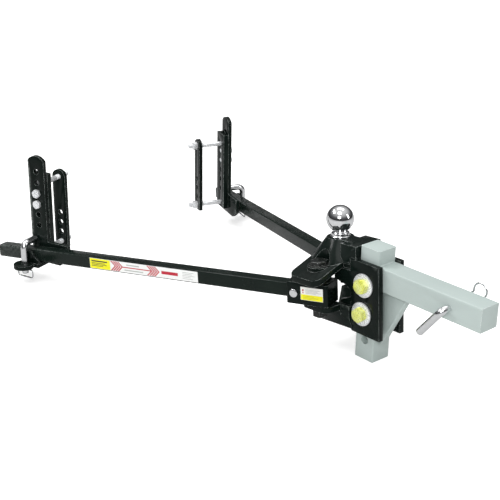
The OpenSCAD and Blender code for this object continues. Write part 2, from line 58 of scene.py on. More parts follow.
def basis(o, x, y, z):
    """The frame with its origin at o in metres and the three axes, for points given in mm."""
    m = Matrix.Identity(4)
    for i, axis in enumerate((x, y, z)):
        for k in range(3):
            m[k][i] = axis[k] * MM
    for k in range(3):
        m[k][3] = o[k]
    return m


def center(node):
    lo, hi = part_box(node)
    return (lo + hi) / 2


def socket_frame(side):
    """Origin on the socket's pivot at arm height, X along the arm, Y outward, Z along the pivot."""
    o = Vector(JOINTS[side + "_arm_swivel"]["pos_m"])
    x = Vector(JOINTS[side + "_bracket_slide"]["axis"])
    y = Vector(JOINTS[side + "_arm_pin_turn"]["axis"])
    z = Vector(JOINTS[side + "_arm_swivel"]["axis"])
    return basis(o, x, y, z)


LPIN_X, LPIN_Y, BAIL_Z = 11.0, 31.0, -33.0


def bracket_frame(side):
    """Origin on the arm's axis under the bracket, X rearward and level, Y outward, Z up."""
    x = Vector(JOINTS[side + "_bracket_slide"]["axis"])
    x.z = 0
    x.normalize()
    y = Vector((x.y, -x.x, 0))
    if (y.y > 0) != (side == "left"):
        y.negate()
    p = Vector(JOINTS[side + "_l_pin_turn"]["pos_m"])
    return basis(p - x * LPIN_X * MM - y * LPIN_Y * MM, x, y, Vector((0, 0, 1)))


HEAD_Z = Vector(JOINTS["right_arm_swivel"]["axis"])
HEAD_X = Vector((HEAD_Z.z, 0, -HEAD_Z.x))
Y_AXIS = Vector((0, 1, 0))
ROW = basis(Vector((0, 0, 0)), Vector((1, 0, 0)), Y_AXIS, Vector((0, 0, 1)))

# ---------------------------------------------------------------- mesh builders


def finish_mesh(bm, name, sharp=32, recalc=True):
    if recalc:
        bmesh.ops.recalc_face_normals(bm, faces=bm.faces)
    me = bpy.data.meshes.new(name)
    bm.to_mesh(me)
    bm.free()
    for p in me.polygons:
        p.use_smooth = True
    me.set_sharp_from_angle(angle=math.radians(sharp))
    ob = bpy.data.objects.new(name, me)
    bpy.context.scene.collection.objects.link(ob)
    return ob


def turned(bm, m, rings, segs=72, closed=False):
    """A solid from rings (z, r), each r a number or a function of the angle; closed joins last to first."""
    rows = []
    for z, r in rings:
        row = []
        for i in range(segs):
            a = 2 * math.pi * i / segs
            rr = r(a) if callable(r) else r
            row.append(bm.verts.new(m @ Vector((rr * math.cos(a), rr * math.sin(a), z))))
        rows.append(row)
    pairs = list(zip(rows, rows[1:]))
    if closed:
        pairs.append((rows[-1], rows[0]))
    for a, b in pairs:
        for i in range(segs):
            j = (i + 1) % segs
            bm.faces.new((a[i], a[j], b[j], b[i]))
    if not closed:
        bm.faces.new(rows[0][::-1])
        bm.faces.new(rows[-1])


def hexagon(af, turn):
    def r(a):
        return af / 2 / math.cos((a + turn) % (math.pi / 3) - math.pi / 6)
    return r


CORNER_STEPS = (0.0, 0.25, 0.5, 0.9, 1.4, 2.0)   # depths at which a turned hexagon corner is drawn
CORNER_SLOPE, CORNER_START = 0.55, 0.985


def hex_rings(af, z0, z1, low=True, high=True, turn=0.0):
    """Rings of a hexagon from z0 to z1 with its corners turned off at one or both ends."""
    hx = hexagon(af, turn)

    def at(depth):
        return lambda a: min(hx(a), af / 2 * CORNER_START + depth / CORNER_SLOPE)
    out = []
    if low:
        out += [(z0 + d, at(d)) for d in CORNER_STEPS]
    else:
        out += [(z0, hx)]
    if high:
        out += [(z1 - d, at(d)) for d in reversed(CORNER_STEPS)]
    else:
        out += [(z1, hx)]
    return out


NUT_LEAD = 0.9    # countersink of a nut's bore


def nut(bm, m, af, z0, z1, bore, turn=0.0):
    inner = [(z1, bore + NUT_LEAD), (z1 - NUT_LEAD, bore), (z0 + NUT_LEAD, bore), (z0, bore + NUT_LEAD)]
    turned(bm, m, hex_rings(af, z0, z1, turn=turn) + inner, closed=True)


def washer(bm, m, r0, r1, z0, z1, soft=0.5):
    turned(bm, m, [(z0, r0), (z0, r1 - soft), (z0 + soft * 0.3, r1 - soft * 0.3), (z0 + soft, r1),
                   (z1 - soft, r1), (z1 - soft * 0.3, r1 - soft * 0.3), (z1, r1 - soft), (z1, r0)],
           segs=96, closed=True)


def thread(bm, m, r, pitch, z0, z1, segs=36):
    """A helical thread of outer radius r from z0 to z1, run out at each end."""
    depth = 0.6 * pitch
    turns = (z1 - z0) / pitch - 1
    n = int(turns * segs)
    rows = []
    for i in range(n + 1):
        a = 2 * math.pi * i / segs
        z = z0 + pitch * i / segs
        grow = min(1.0, i / segs, (n - i) / segs)
        top = r - depth + depth * max(grow, 0.02)
        base = r - depth
        form = ((base, 0.0), (top, pitch * 0.42), (top, pitch * 0.55), (base, pitch * 0.97))
        rows.append([bm.verts.new(m @ Vector((q * math.cos(a), q * math.sin(a), z + dz))) for q, dz in form])
    for a, b in zip(rows, rows[1:]):
        for k in range(3):
            bm.faces.new((a[k], b[k], b[k + 1], a[k + 1]))


def sweep(bm, m, pts, radius, segs, closed=False, soft=0.35):
    """A rod along a smooth line of points, its ends rounded over by soft of the radius."""
    pts = [Vector(p) for p in pts]
    n = len(pts)
    tang = []
    for i in range(n):
        a = pts[i - 1] if (i or closed) else pts[0]
        b = pts[(i + 1) % n] if (i < n - 1 or closed) else pts[-1]
        tang.append((b - a).normalized())
    up = tang[0].orthogonal().normalized()
    rows = []
    for p, t in zip(pts, tang):
        up = (up - t * up.dot(t)).normalized()
        rows.append((p, up.copy(), t.cross(up), radius))
    if not closed:
        d = soft * radius

        def end(i, sign):
            p, u, side, r = rows[i]
            return [(p + tang[i] * sign * d * (1 - math.cos(q)), u, side, r - d + d * math.sin(q))
                    for q in (math.pi / 2, math.pi / 3, math.pi / 6, 0)]
        rows = end(0, 1)[::-1] + rows[1:-1] + end(-1, -1)
    verts = []
    for p, u, side, r in rows:
        turns = [2 * math.pi * k / segs for k in range(segs)]
        verts.append([bm.verts.new(m @ (p + (u * math.cos(a) + side * math.sin(a)) * r)) for a in turns])
    pairs = list(zip(verts, verts[1:]))
    if closed:
        # the last ring meets the first with the least twist
        best = min(range(segs), key=lambda k: (verts[-1][k].co - verts[0][0].co).length)
        pairs.append((verts[-1][best:] + verts[-1][:best], verts[0]))
    for a, b in pairs:
        for k in range(segs):
            j = (k + 1) % segs
            bm.faces.new((a[k], a[j], b[j], b[k]))
    if not closed:
        bm.faces.new(verts[0][::-1])
        bm.faces.new(verts[-1])


def arc(c, u, v, r, t0, t1, n):
    """Points of a round bend about c, from angle t0 to t1 in the plane of u and v, degrees."""
    c, u, v = Vector(c), Vector(u), Vector(v)
    out = []
    for i in range(n + 1):
        t = math.radians(t0 + (t1 - t0) * i / n)
        out.append(c + (u * math.cos(t) + v * math.sin(t)) * r)
    return out


def rounded_loop(corners, r):
    """A closed line through the corners with each corner rounded to radius r."""
    pts = [Vector(c) for c in corners]
    steps = 10
    out = []
    for i, b in enumerate(pts):
        a, c = pts[i - 1], pts[(i + 1) % len(pts)]
        d0, d1 = (a - b).normalized(), (c - b).normalized()
        half = math.acos(max(-1, min(1, d0.dot(d1)))) / 2
        back = r / math.tan(half)
        o = b + (d0 + d1).normalized() * (r / math.sin(half))
        start, end = b + d0 * back - o, b + d1 * back - o
        total = start.angle(end)
        for k in range(steps + 1):
            q = k / steps
            out.append(o + (start * math.sin((1 - q) * total) + end * math.sin(q * total)) / math.sin(total))
    return out


def densify(pts, step):
    """The line with points added about every step."""
    out = [Vector(pts[0])]
    for a, b in zip(pts, pts[1:]):
        a, b = Vector(a), Vector(b)
        n = max(1, int((b - a).length / step))
        out += [a + (b - a) * (k / n) for k in range(1, n + 1)]
    return out


def weld(bm, m, a, b, size, into, ripple=2.2):
    """A fillet weld bead from a to b, in a corner whose open side faces the direction into."""
    a, b, into = Vector(a), Vector(b), Vector(into).normalized()
    run = (b - a).normalized()
    side = run.cross(into)
    n = max(8, int((b - a).length / 0.6))
    around = 12
    rows = []
    phase = rng.random() * 6
    for i in range(n + 1):
        q = i / n
        p = a + (b - a) * q
        ends = min(1.0, 0.25 + 4.5 * q, 0.25 + 4.5 * (1 - q))
        w = size * ends * (1 + 0.05 * math.sin(i * 0.23 + phase))
        row = []
        for k in range(around + 1):
            t = math.pi * k / around
            # ripples bow forward at the middle of the bead
            lead = ripple * 0.6 * math.sin(t)
            wave = abs(math.sin(math.pi * (q * (b - a).length + lead) / ripple + phase))
            r = w * (0.93 + 0.09 * wave)
            crown = into * (math.sin(t) * r * 0.55 - w * 0.12)
            row.append(bm.verts.new(m @ (p + side * (math.cos(t) * r) + crown)))
        rows.append(row)
    for x, y in zip(rows, rows[1:]):
        for k in range(around):
            bm.faces.new((x[k], y[k], y[k + 1], x[k + 1]))


def place(ob, body, slot, *nodes):
    """Puts a piece on its body in its finish, in place of the CAD nodes."""
    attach(ob, body)
    if nodes:
        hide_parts(*nodes)
    ob.data.materials.clear()
    ob.data.materials.append(MATS[slot])


# ---------------------------------------------------------------- materials


class Tree:
    def __init__(self, name):
        self.mat = bpy.data.materials.new(name)
        self.mat.use_nodes = True
        self.t = self.mat.node_tree
        self.t.nodes.clear()
        self.out = self.t.nodes.new("ShaderNodeOutputMaterial")
        self.b = self.t.nodes.new("ShaderNodeBsdfPrincipled")
        self.link(self.b.outputs[0], self.out.inputs[0])
        self.coord = self.t.nodes.new("ShaderNodeTexCoord").outputs["Object"]

    def link(self, a, b):
        self.t.links.new(a, b)

    def node(self, kind, **settings):
        n = self.t.nodes.new(kind)
        for k, v in settings.items():
            setattr(n, k, v)
        return n

    def noise(self, scale, detail, rough=0.5):
        n = self.node("ShaderNodeTexNoise")
        n.inputs["Scale"].default_value = scale
        n.inputs["Detail"].default_value = detail
        n.inputs["Roughness"].default_value = rough
        self.link(self.coord, n.inputs["Vector"])
        return n.outputs["Fac"]

    def remap(self, v, a, b, c, d):
        n = self.node("ShaderNodeMapRange")
        n.clamp = True
        for k, x in zip(("From Min", "From Max", "To Min", "To Max"), (a, b, c, d)):
            n.inputs[k].default_value = x
        self.link(v, n.inputs["Value"])
        return n.outputs[0]

    def math(self, op, a, b):
        n = self.node("ShaderNodeMath", operation=op)
        n.use_clamp = op in ("MULTIPLY", "ADD", "SUBTRACT")
        for k, x in enumerate((a, b)):
            if isinstance(x, (int, float)):
                n.inputs[k].default_value = x
            else:
                self.link(x, n.inputs[k])
        return n.outputs[0]

    def mix(self, fac, a, b):
        n = self.node("ShaderNodeMix", data_type="RGBA")
        for k, x in ((0, fac), (6, a), (7, b)):
            if isinstance(x, (tuple, list)):
                n.inputs[k].default_value = tuple(x) + (1.0,) * (4 - len(x))
            elif isinstance(x, (int, float)):
                n.inputs[k].default_value = x
            else:
                self.link(x, n.inputs[k])
        return n.outputs[2]

    def edges(self, radius, lo, hi):
        """1 on edges: where the rounded normal leaves the face's own."""
        bev = self.node("ShaderNodeBevel")
        bev.samples = 4
        bev.inputs["Radius"].default_value = radius
        geo = self.node("ShaderNodeNewGeometry")
        dot = self.node("ShaderNodeVectorMath", operation="DOT_PRODUCT")
        self.link(bev.outputs[0], dot.inputs[0])
        self.link(geo.outputs["True Normal"], dot.inputs[1])
        return self.remap(dot.outputs["Value"], hi, lo, 0.0, 1.0)

    def bump(self, height, strength, distance, normal=None):
        n = self.node("ShaderNodeBump")
        n.inputs["Strength"].default_value = strength
        n.inputs["Distance"].default_value = distance
        self.link(height, n.inputs["Height"])
        if normal is not None:
            self.link(normal, n.inputs["Normal"])
        return n.outputs[0]


def paint(name, color, alt, rough, edge_wear_and_highlight, edge_wear_and_highlight_amount, spec, peel=0.25, dust=0.015,
          dust_color=(0.25, 0.25, 0.24)):
    """Sprayed or powder coat: slight orange peel, patchy gloss, edges lightened in patches as part rubbed wear and
    part painted highlight, and a little dust.
    """
    k = Tree(name)
    base = k.mix(k.remap(k.noise(9.0, 4.0), 0.35, 0.65, 0.0, 1.0), color, alt)
    nz = k.node("ShaderNodeSeparateXYZ")
    geo = k.node("ShaderNodeNewGeometry")
    k.link(geo.outputs["Normal"], nz.inputs[0])
    top = k.remap(nz.outputs[2], 0.2, 1.0, 0.0, 1.0)
    film = k.math("MULTIPLY", top, k.remap(k.noise(60.0, 6.0, 0.65), 0.35, 0.75, 0.0, dust * 2))
    base = k.mix(film, base, dust_color)
    # edges take a lighter colour in patches: partly rubbed wear, partly a painted highlight standing in for light
    # catching the edges
    patches = k.remap(k.noise(120.0, 5.0, 0.7), 0.42, 0.58, 0.15, edge_wear_and_highlight_amount)
    rub = k.math("MULTIPLY", k.edges(0.0010, 0.88, 0.98), patches)
    base = k.mix(rub, base, edge_wear_and_highlight)
    k.link(base, k.b.inputs["Base Color"])
    gloss = k.remap(k.noise(26.0, 5.0, 0.6), 0.3, 0.7, rough[0], rough[1])
    k.link(k.math("ADD", gloss, k.math("MULTIPLY", film, 0.8)), k.b.inputs["Roughness"])
    fine = k.bump(k.noise(950.0, 2.0), peel, 0.00012)
    k.link(k.bump(k.noise(170.0, 3.0), peel * 0.6, 0.0004, fine), k.b.inputs["Normal"])
    k.b.inputs["Specular IOR Level"].default_value = spec
    return k.mat


def plated(name, color, alt, rough, grain, soil, bump=0.15, dull=(0.2, 0.2, 0.2), metal=1.0):
    """Bright plating over steel: soft mottling, fine grain, duller in patches, brighter at the edges."""
    k = Tree(name)
    base = k.mix(k.remap(k.noise(70.0, 5.0, 0.6), 0.32, 0.68, 0.0, 1.0), color, alt)
    grime = k.math("MULTIPLY", k.remap(k.noise(90.0, 5.0, 0.6), 0.55, 0.75, 0.0, 1.0), soil)
    base = k.mix(grime, base, dull)
    bright = tuple(min(1.0, c * 1.15) for c in color)
    base = k.mix(k.math("MULTIPLY", k.edges(0.0007, 0.9, 0.99), 0.35), base, bright)
    k.link(base, k.b.inputs["Base Color"])
    k.b.inputs["Metallic"].default_value = metal
    r = k.remap(k.noise(grain, 4.0, 0.6), 0.3, 0.7, rough[0], rough[1])
    k.link(k.math("ADD", r, k.math("MULTIPLY", grime, 0.5)), k.b.inputs["Roughness"])
    k.link(k.bump(k.noise(grain * 2.0, 3.0, 0.6), bump, 0.00006), k.b.inputs["Normal"])
    return k.mat


def print_ink(name, color, fade):
    """Printed vinyl: slightly faded in patches and rubbed in specks."""
    k = Tree(name)
    rub = k.remap(k.noise(420.0, 5.0, 0.7), 0.6, 0.78, 0.0, 0.5)
    tone = k.mix(k.remap(k.noise(25.0, 3.0), 0.3, 0.7, 0.0, 0.25), color, fade)
    k.link(k.mix(rub, tone, fade), k.b.inputs["Base Color"])
    k.link(k.remap(k.noise(60.0, 3.0), 0.3, 0.7, 0.35, 0.5), k.b.inputs["Roughness"])
    k.link(k.bump(k.noise(600.0, 2.0), 0.08, 0.00005), k.b.inputs["Normal"])
    return k.mat


# each paint's lighter edge colour is partly rubbed wear and partly painted highlight: grey edge lines on the black
# parts, near-white edges on the shank
MATS = {
    "black_paint": paint("black_paint", (0.003, 0.0055, 0.0045), (0.005, 0.010, 0.008), rough=(0.14, 0.26),
                         edge_wear_and_highlight=(0.46, 0.50, 0.48), edge_wear_and_highlight_amount=0.9, spec=0.13, peel=0.16),
    "arm_paint": paint("arm_paint", (0.0035, 0.0075, 0.006), (0.007, 0.013, 0.010), rough=(0.16, 0.30),
                       edge_wear_and_highlight=(0.42, 0.46, 0.44), edge_wear_and_highlight_amount=0.8, spec=0.16, peel=0.16),
    "black_fastener": paint("black_fastener", (0.007, 0.009, 0.008), (0.012, 0.014, 0.013),
                            rough=(0.16, 0.30), edge_wear_and_highlight=(0.50, 0.52, 0.50), edge_wear_and_highlight_amount=0.9, spec=0.4),
    "shank_paint": paint("shank_paint", (0.425, 0.495, 0.475), (0.455, 0.525, 0.505), rough=(0.34, 0.48),
                         edge_wear_and_highlight=(0.93, 0.96, 0.95), edge_wear_and_highlight_amount=0.9, spec=0.4, peel=0.18, dust=0.03,
                         dust_color=(0.5, 0.5, 0.48)),
    "ball_chrome": plated("ball_chrome", (0.84, 0.85, 0.86), (0.80, 0.81, 0.82), rough=(0.035, 0.09),
                          grain=300.0, soil=0.06, bump=0.03),
    "pin_chrome": plated("pin_chrome", (0.80, 0.81, 0.82), (0.74, 0.75, 0.76), rough=(0.14, 0.26),
                         grain=500.0, soil=0.15),
    "bright_zinc": plated("bright_zinc", (0.90, 0.91, 0.92), (0.82, 0.84, 0.86), rough=(0.20, 0.36),
                          grain=420.0, soil=0.16, metal=0.55),
    "yellow_zinc": plated("yellow_zinc", (0.80, 0.84, 0.10), (0.84, 0.88, 0.36), rough=(0.22, 0.38),
                          grain=420.0, soil=0.25, dull=(0.40, 0.34, 0.12), metal=0.5),
    "socket_label": print_ink("socket_label", (0.88, 0.88, 0.84), (0.78, 0.78, 0.74)),
    "arm_label": print_ink("arm_label", (0.88, 0.89, 0.88), (0.76, 0.77, 0.76)),
}
INK = {
    "yellow": print_ink("ink_yellow", (0.90, 0.86, 0.0), (0.86, 0.80, 0.02)),
    "olive": print_ink("ink_olive", (0.42, 0.36, 0.02), (0.5, 0.44, 0.1)),
    "red": print_ink("ink_red", (0.50, 0.008, 0.03), (0.52, 0.04, 0.06)),
    "black": print_ink("ink_black", (0.02, 0.02, 0.02), (0.12, 0.12, 0.12)),
    "grey": print_ink("ink_grey", (0.46, 0.48, 0.46), (0.58, 0.58, 0.58)),
}

# ---------------------------------------------------------------- carried-over plates, bars and sockets


def smooth_by_angle(deg):
    """A modifier tree that shades edges smooth up to that angle."""
    g = bpy.data.node_groups.get("shade_by_angle")
    if g:
        return g
    g = bpy.data.node_groups.new("shade_by_angle", "GeometryNodeTree")
    g.interface.new_socket("Geometry", in_out="INPUT", socket_type="NodeSocketGeometry")
    g.interface.new_socket("Geometry", in_out="OUTPUT", socket_type="NodeSocketGeometry")
    i, o = g.nodes.new("NodeGroupInput"), g.nodes.new("NodeGroupOutput")
    face = g.nodes.new("GeometryNodeSetShadeSmooth")
    face.domain = "FACE"
    edge = g.nodes.new("GeometryNodeSetShadeSmooth")
    edge.domain = "EDGE"
    ang = g.nodes.new("GeometryNodeInputMeshEdgeAngle")
    cmp = g.nodes.new("FunctionNodeCompare")
    cmp.operation = "LESS_EQUAL"
    cmp.inputs[1].default_value = math.radians(deg)
    g.links.new(ang.outputs["Unsigned Angle"], cmp.inputs[0])
    g.links.new(i.outputs[0], face.inputs["Geometry"])
    g.links.new(face.outputs[0], edge.inputs["Geometry"])
    g.links.new(cmp.outputs[0], edge.inputs["Shade Smooth"])
    g.links.new(edge.outputs[0], o.inputs[0])
    return g


BEVEL_ANGLE, SHADE_ANGLE = 28, 40    # degrees: sharper edges are bevelled, and shaded sharp


def dress(node, slot, width, segs=2):
    """Gives a CAD node softened edges and its finish."""
    ob = NODES[node]
    ob.data.materials.clear()
    ob.data.materials.append(MATS[slot])
    w = ob.modifiers.new("weld", "WELD")
    w.merge_threshold = 0.00001
    d = ob.modifiers.new("flat", "DECIMATE")
    d.decimate_type = "DISSOLVE"
    d.angle_limit = math.radians(0.8)
    if width:
        b = ob.modifiers.new("soften", "BEVEL")
        b.width = width * MM
        b.segments = segs
        b.limit_method = "ANGLE"
        b.angle_limit = math.radians(BEVEL_ANGLE)
        b.use_clamp_overlap = True
    n = ob.modifiers.new("shade", "NODES")
    n.node_group = smooth_by_angle(SHADE_ANGLE)


for node in ("shank_bar", "shank_column"):
    dress(node, "shank_paint", 1.8, 3)
dress("shank_gusset", "shank_paint", 1.2, 3)
for node in ("side_plate_right", "side_plate_left", "ball_platform", "top_plate", "bottom_plate"):
    dress(node, "black_paint", 1.0)
dress("tilt_spacer", "bright_zinc", 0.5)
for side in SIDES:
    for part, width in (("_socket", 1.0), ("_sway_bracket", 1.0), ("_shelf", 1.0), ("_shelf_lip", 0.8),
                        ("_jacket", 1.2), ("_link_plate", 1.0)):
        dress(side + part, "black_paint", width)
    dress(side + "_arm", "arm_paint", 0.0)
    dress(side + "_socket_label", "socket_label", 0.0)
    dress(side + "_arm_label", "arm_label", 0.0)

# ---------------------------------------------------------------- head bolts

# capitals from here on are the part's own sizes in mm unless a line says otherwise
HOLE_PITCH = 31.75
PLATES_OUT, WASHER_T, WASHER_R, HEAD_T, NUT_T = 38.4, 4.0, 25.4, 12.0, 16.0
BOLT_R, BOLT_AF, BOLT_FACE_R, BOLT_PAST = 9.5, 28.6, 13.6, 6.0
UNDERCUT, ROOT = 0.4, 1.2           # step under a bolt head, and depth of the thread root
pair = center("head_bolt_nuts")
column = center("shank_column")
bolts, washers, nuts = bmesh.new(), bmesh.new(), bmesh.new()
for up, turn in ((1, 0.3), (-1, 0.75)):
    at = Vector((column.x, 0, pair.z + up * HOLE_PITCH * MM))
    m = basis(at, Vector((1, 0, 0)), Vector((0, 0, -1)), Y_AXIS)
    z0 = -PLATES_OUT - WASHER_T
    z1 = PLATES_OUT + WASHER_T + NUT_T + BOLT_PAST
    turned(bolts, m, hex_rings(BOLT_AF, z0 - HEAD_T, z0 - UNDERCUT, True, False, turn)
           + [(z0 - UNDERCUT, BOLT_FACE_R), (z0, BOLT_FACE_R), (z0, BOLT_R), (PLATES_OUT, BOLT_R),
              (PLATES_OUT + 0.8, BOLT_R - ROOT), (z1 - 1, BOLT_R - ROOT), (z1, BOLT_R - ROOT - 1)])
    thread(bolts, m, BOLT_R, 2.54, PLATES_OUT + 0.5, z1 - 0.3)
    for y0, y1 in ((z0, -PLATES_OUT), (PLATES_OUT, PLATES_OUT + WASHER_T)):
        washer(washers, m, BOLT_R + 0.3, WASHER_R, y0, y1, 0.7)
    nut(nuts, m, BOLT_AF, PLATES_OUT + WASHER_T, PLATES_OUT + WASHER_T + NUT_T, BOLT_R, turn + 0.2)
for bm, node, slot in ((bolts, "head_bolts", "yellow_zinc"), (washers, "head_bolt_washers", "bright_zinc"),
                       (nuts, "head_bolt_nuts", "yellow_zinc")):
    place(finish_mesh(bm, node + "_v"), "head", slot, node)

# ---------------------------------------------------------------- ball, its washer and nut

BALL_R, NECK_R, COLLAR_R, SHANK_R = 29.37, 15.6, 19.5, 15.9
PLATFORM, BALL_Z, SHANK_END, UNDER = 106.0, 144.0, 31.8, 62.37
ball_at = Vector(next(x for x in frame["record"]["mounts"] if x["name"] == "hitch_ball")["pos_m"])
m = basis(ball_at - HEAD_Z * BALL_Z * MM, HEAD_X, Y_AXIS, HEAD_Z)
FLAT_TOP = 86.0                     # latitude in degrees where the ball's small flat begins
sphere = []
start = math.degrees(math.asin(-math.sqrt(BALL_R ** 2 - NECK_R ** 2) / BALL_R))
for i in range(61):
    t = math.radians(start + (FLAT_TOP - start) * i / 60)
    sphere.append((BALL_Z + BALL_R * math.sin(t), BALL_R * math.cos(t)))
neck_z = sphere[0][0]
profile = [(SHANK_END, SHANK_R - 3), (SHANK_END + 2, SHANK_R - 1.7), (UNDER, SHANK_R - 1.7),
           (UNDER + 2, SHANK_R), (PLATFORM, SHANK_R)]
# foot flange, collar and neck, as heights above the platform
profile += [(PLATFORM + up, r) for up, r in (
    (0, COLLAR_R + 1.5), (0.5, COLLAR_R + 2), (1.5, COLLAR_R + 2), (2.6, COLLAR_R + 0.5), (3.4, COLLAR_R),
    (8, COLLAR_R), (9, COLLAR_R - 0.5), (10, COLLAR_R - 1.8), (10.8, NECK_R + 1.4), (12, NECK_R + 0.5),
    (13.4, NECK_R))]
profile += [(neck_z - 0.6, NECK_R)]
bm = bmesh.new()
turned(bm, m, profile + sphere, segs=128)
thread(bm, m, SHANK_R, 2.5, SHANK_END + 1, UNDER - 0.5, segs=64)
place(finish_mesh(bm, "hitch_ball_v", 30), "head", "ball_chrome", "hitch_ball")
bm = bmesh.new()
BALL_NUT_AF, LOCK_T, BALL_NUT_T = 47.6, 6.0, 22.0
nut(bm, m, BALL_NUT_AF, UNDER - LOCK_T - BALL_NUT_T, UNDER - LOCK_T, SHANK_R, 0.2)
place(finish_mesh(bm, "ball_nut_v"), "head", "bright_zinc", "ball_nut")
dress("ball_lock_washer", "bright_zinc", 0.5)

# ---------------------------------------------------------------- socket bolts

CAP_Z, CAP_H, CAP_AF, PIVOT_R, PIVOT_END_R, PIVOT_AF = 60.6, 8.0, 32.0, 12.6, 9.5, 28.6
SHELF, SHOULDER, PIVOT_NUT, PIVOT_W = -37.0, -24.0, 14.0, 3.0
CAP_WASHER_R, LOW_WASHER_R, PIVOT_ROOT, PIVOT_PAST = 22.0, 17.0, 1.3, 4.0
bolts, washers, nuts = bmesh.new(), bmesh.new(), bmesh.new()
for side, turn in (("right", 0.15), ("left", 0.6)):
    m = socket_frame(side)
    low = SHELF - PIVOT_W - PIVOT_NUT - PIVOT_PAST
    root, face = PIVOT_END_R - PIVOT_ROOT, CAP_AF / 2 * 0.95
    turned(bolts, m, [(low, PIVOT_END_R - 2.4), (low + 1.2, root), (SHELF - PIVOT_W, root),
                      (SHELF - 1.5, PIVOT_END_R), (SHOULDER, PIVOT_END_R), (SHOULDER, PIVOT_R),
                      (CAP_Z, PIVOT_R), (CAP_Z, face), (CAP_Z + 0.6, face)]
           + hex_rings(CAP_AF, CAP_Z + 0.6, CAP_Z + CAP_H, False, True, turn))
    thread(bolts, m, PIVOT_END_R, 2.5, low + 0.5, SHELF - PIVOT_W, segs=48)
    washer(washers, m, PIVOT_R + 0.3, CAP_WASHER_R, CAP_Z - PIVOT_W, CAP_Z)
    washer(washers, m, PIVOT_END_R + 0.3, LOW_WASHER_R, SHELF - PIVOT_W, SHELF)
    nut(nuts, m, PIVOT_AF, low + PIVOT_PAST, low + PIVOT_PAST + PIVOT_NUT, PIVOT_END_R, turn)
for bm, node in ((bolts, "socket_bolts"), (washers, "socket_bolt_washers"), (nuts, "socket_bolt_nuts")):
    place(finish_mesh(bm, node + "_v"), "head", "black_fastener", node)

# ---------------------------------------------------------------- receiver pin, arm pins and their clips


def clip_path(leg, hug, loop, w, rise):
    """A keyhole shaped spring clip: one long leg, a round loop above, one short leg."""
    foot = math.sqrt(loop * loop - hug * hug / 4)
    neck = hug + w + rise
    half_open = math.degrees(math.acos(hug / 2 / loop))
    top = neck + foot
    ring = arc((-hug / 2, 0, top), (1, 0, 0), (0, 0, 1), loop, -half_open, 180 + half_open, 48)
    line = [Vector((0, 0, -leg)), Vector((0, 0, neck - w * 0.6))] + ring[2:-2] \
        + [Vector((-hug, 0, neck - w * 0.6)), Vector((-hug, 0, -leg / 2))]
    return densify(smooth(densify(line, 0.8), 10), 0.9)


def smooth(pts, times):
    """The line with its corners eased by averaging each point with its neighbours."""
    pts = [Vector(p) for p in pts]
    for _ in range(times):
        pts = [pts[0]] + [(a + b * 2 + c) / 4 for a, b, c in zip(pts, pts[1:], pts[2:])] + [pts[-1]]
    return pts


def clip_frame(origin, along, pin_axis):
    z = Vector(along)
    y = Vector(pin_axis)
    return basis(origin, y.cross(z), y, z)


PIN_R, PIN_OUT, PIN_BEND, PIN_DROP, PIN_LEG, PIN_END, CLIP_Y = 7.9, 26.9, 16.0, 52.0, 66.0, 44.4, 37.4
# leg, gap round the pin, loop radius, wire radius and rise of the loop
HITCH_CLIP, ARM_CLIP = (18, 10.3, 15, 2, 10), (13, 8.2, 8, 1.5, 0)
drop = math.radians(PIN_DROP)
back = Vector((-math.cos(drop), 0, -math.sin(drop)))
hub = Vector((0, -PIN_OUT, 0)) + back * PIN_BEND
pin_line = [(0, PIN_END, 0)] + [tuple(p) for p in arc(hub, -back, (0, -1, 0), PIN_BEND, 0, 90, 20)] \
    + [tuple(Vector((0, -PIN_OUT - PIN_BEND, 0)) + back * (PIN_BEND + PIN_LEG))]
bm = bmesh.new()
sweep(bm, ROW, densify(pin_line, 3), PIN_R, 40, soft=0.28)
place(finish_mesh(bm, "hitch_pin_v"), "hitch_pin", "pin_chrome", "hitch_pin")
bm = bmesh.new()
sweep(bm, clip_frame(Vector((0, CLIP_Y * MM, 0)), JOINTS["hitch_pin_clip_pull"]["axis"], Y_AXIS),
      clip_path(*HITCH_CLIP), HITCH_CLIP[3], 16, soft=0.5)
place(finish_mesh(bm, "hitch_pin_clip_v"), "hitch_pin_clip", "pin_chrome", "hitch_pin_clip")

ARM_PIN_X, ARM_PIN_R, ARM_PIN_PAST, SOCKET_HALF = 46.0, 6.3, 12.0, 28.5
# height above the socket's face and radius of each ring of the pin's button head
ARM_PIN_HEAD = ((0, ARM_PIN_R), (0, 8.7), (0.5, 9.2), (2.6, 9.2), (3.4, 8.6), (3.85, 7.2), (4, 5.2))
for side in SIDES:
    m = socket_frame(side)
    x, y, z = (m.to_3x3().col[i].normalized() for i in range(3))
    axis = basis(m @ Vector((ARM_PIN_X, 0, 0)), x, -z if side == "right" else z, y)
    tip, face = -SOCKET_HALF - ARM_PIN_PAST, SOCKET_HALF + 0.3
    bm = bmesh.new()
    turned(bm, axis, [(tip, ARM_PIN_R - 1.6), (tip + 1.4, ARM_PIN_R)]
           + [(face + up, rr) for up, rr in ARM_PIN_HEAD], segs=48)
    place(finish_mesh(bm, side + "_arm_pin_v"), side + "_arm_pin", "pin_chrome", side + "_arm_pin")
    bm = bmesh.new()
    spot = m @ Vector((ARM_PIN_X, -SOCKET_HALF - ARM_PIN_PAST / 2, 0))
    sweep(bm, basis(spot, x, y, z), clip_path(*ARM_CLIP), ARM_CLIP[3], 14, soft=0.5)
    clip = side + "_arm_pin_clip"
    place(finish_mesh(bm, clip + "_v"), clip, "bright_zinc", clip)

# ---------------------------------------------------------------- sway bracket fasteners and L pins

